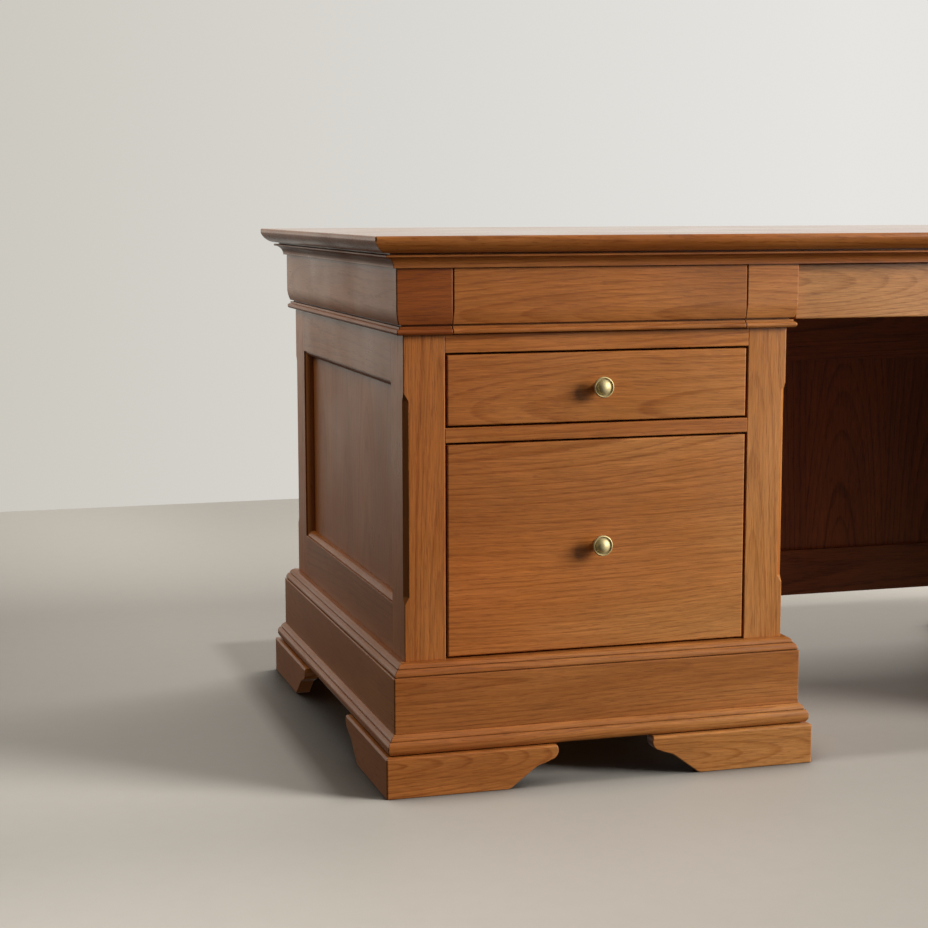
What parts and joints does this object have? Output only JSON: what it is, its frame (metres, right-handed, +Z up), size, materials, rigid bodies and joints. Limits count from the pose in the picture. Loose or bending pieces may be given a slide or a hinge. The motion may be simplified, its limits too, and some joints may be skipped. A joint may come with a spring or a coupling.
{
  "type": "partners desk",
  "caption": "Double-sided pedestal desk in stained oak: moulded top, frieze drawers, knobbed drawers in panelled pedestals, moulded plinths on bracket feet and a central modesty panel.",
  "frame": {"origin": "on the floor under the middle of the desk", "axes": "+X along the desk to the right as seen from the front, -Y to the front, +Z up"},
  "size_m": [1.98, 0.833, 0.78],
  "materials": {
    "show_wood": "satin lacquer over mid-brown stain, open grain",
    "carcase_wood": "planed, unstained",
    "drawer_box_wood": "sanded and waxed",
    "knob_brass": "satin",
    "fixing_steel": "zinc plated"
  },
  "bodies": {
    "desk": {"base_mouldings": "show_wood", "bracket_feet": "show_wood", "cornice_mouldings": "show_wood", "drawer_rails": "show_wood", "drawer_stops": "carcase_wood", "foot_blocks": "carcase_wood", "frieze_corner_blocks": "show_wood", "frieze_drawer_runners": "carcase_wood", "frieze_side_boards": "show_wood", "left_corner_posts": "show_wood", "modesty_frame": "show_wood", "modesty_panel": "show_wood", "panel_mouldings": "show_wood", "pedestal_boards": "carcase_wood", "pedestal_dividers": "carcase_wood", "pedestal_drawer_runners": "carcase_wood", "plinth_boards": "show_wood", "right_corner_posts": "show_wood", "side_panels": "show_wood", "side_rails": "show_wood", "top_and_pedestal_fixings": "fixing_steel", "top_frame_rails": "carcase_wood", "top_panel": "show_wood"},
    "front_left_upper_drawer": {"front_left_upper_drawer_box": "drawer_box_wood", "front_left_upper_drawer_front": "show_wood", "front_left_upper_knob": "knob_brass"},
    "front_left_lower_drawer": {"front_left_lower_drawer_box": "drawer_box_wood", "front_left_lower_drawer_front": "show_wood", "front_left_lower_knob": "knob_brass"},
    "front_left_frieze_drawer": {"front_left_frieze_drawer_box": "drawer_box_wood", "front_left_frieze_drawer_front": "show_wood"},
    "front_right_upper_drawer": {"front_right_upper_drawer_box": "drawer_box_wood", "front_right_upper_drawer_front": "show_wood", "front_right_upper_knob": "knob_brass"},
    "front_right_lower_drawer": {"front_right_lower_drawer_box": "drawer_box_wood", "front_right_lower_drawer_front": "show_wood", "front_right_lower_knob": "knob_brass"},
    "front_right_frieze_drawer": {"front_right_frieze_drawer_box": "drawer_box_wood", "front_right_frieze_drawer_front": "show_wood"},
    "front_centre_drawer": {"front_centre_drawer_box": "drawer_box_wood", "front_centre_drawer_front": "show_wood"},
    "back_left_upper_drawer": {"back_left_upper_drawer_box": "drawer_box_wood", "back_left_upper_drawer_front": "show_wood", "back_left_upper_knob": "knob_brass"},
    "back_left_lower_drawer": {"back_left_lower_drawer_box": "drawer_box_wood", "back_left_lower_drawer_front": "show_wood", "back_left_lower_knob": "knob_brass"},
    "back_left_frieze_drawer": {"back_left_frieze_drawer_box": "drawer_box_wood", "back_left_frieze_drawer_front": "show_wood"},
    "back_right_upper_drawer": {"back_right_upper_drawer_box": "drawer_box_wood", "back_right_upper_drawer_front": "show_wood", "back_right_upper_knob": "knob_brass"},
    "back_right_lower_drawer": {"back_right_lower_drawer_box": "drawer_box_wood", "back_right_lower_drawer_front": "show_wood", "back_right_lower_knob": "knob_brass"},
    "back_right_frieze_drawer": {"back_right_frieze_drawer_box": "drawer_box_wood", "back_right_frieze_drawer_front": "show_wood"},
    "back_centre_drawer": {"back_centre_drawer_box": "drawer_box_wood", "back_centre_drawer_front": "show_wood"}
  },
  "joints": [
    {"name": "front_left_upper_drawer_slide", "type": "slide", "parent": "desk", "child": "front_left_upper_drawer", "axis": [0, -1, 0], "range_m": [0, 0.24]},
    {"name": "front_left_lower_drawer_slide", "type": "slide", "parent": "desk", "child": "front_left_lower_drawer", "axis": [0, -1, 0], "range_m": [0, 0.24]},
    {"name": "front_left_frieze_drawer_slide", "type": "slide", "parent": "desk", "child": "front_left_frieze_drawer", "axis": [0, -1, 0], "range_m": [0, 0.24]},
    {"name": "front_right_upper_drawer_slide", "type": "slide", "parent": "desk", "child": "front_right_upper_drawer", "axis": [0, -1, 0], "range_m": [0, 0.24]},
    {"name": "front_right_lower_drawer_slide", "type": "slide", "parent": "desk", "child": "front_right_lower_drawer", "axis": [0, -1, 0], "range_m": [0, 0.24]},
    {"name": "front_right_frieze_drawer_slide", "type": "slide", "parent": "desk", "child": "front_right_frieze_drawer", "axis": [0, -1, 0], "range_m": [0, 0.24]},
    {"name": "front_centre_drawer_slide", "type": "slide", "parent": "desk", "child": "front_centre_drawer", "axis": [0, -1, 0], "range_m": [0, 0.24]},
    {"name": "back_left_upper_drawer_slide", "type": "slide", "parent": "desk", "child": "back_left_upper_drawer", "axis": [0, 1, 0], "range_m": [0, 0.24]},
    {"name": "back_left_lower_drawer_slide", "type": "slide", "parent": "desk", "child": "back_left_lower_drawer", "axis": [0, 1, 0], "range_m": [0, 0.24]},
    {"name": "back_left_frieze_drawer_slide", "type": "slide", "parent": "desk", "child": "back_left_frieze_drawer", "axis": [0, 1, 0], "range_m": [0, 0.24]},
    {"name": "back_right_upper_drawer_slide", "type": "slide", "parent": "desk", "child": "back_right_upper_drawer", "axis": [0, 1, 0], "range_m": [0, 0.24]},
    {"name": "back_right_lower_drawer_slide", "type": "slide", "parent": "desk", "child": "back_right_lower_drawer", "axis": [0, 1, 0], "range_m": [0, 0.24]},
    {"name": "back_right_frieze_drawer_slide", "type": "slide", "parent": "desk", "child": "back_right_frieze_drawer", "axis": [0, 1, 0], "range_m": [0, 0.24]},
    {"name": "back_centre_drawer_slide", "type": "slide", "parent": "desk", "child": "back_centre_drawer", "axis": [0, 1, 0], "range_m": [0, 0.24]}
  ]
}
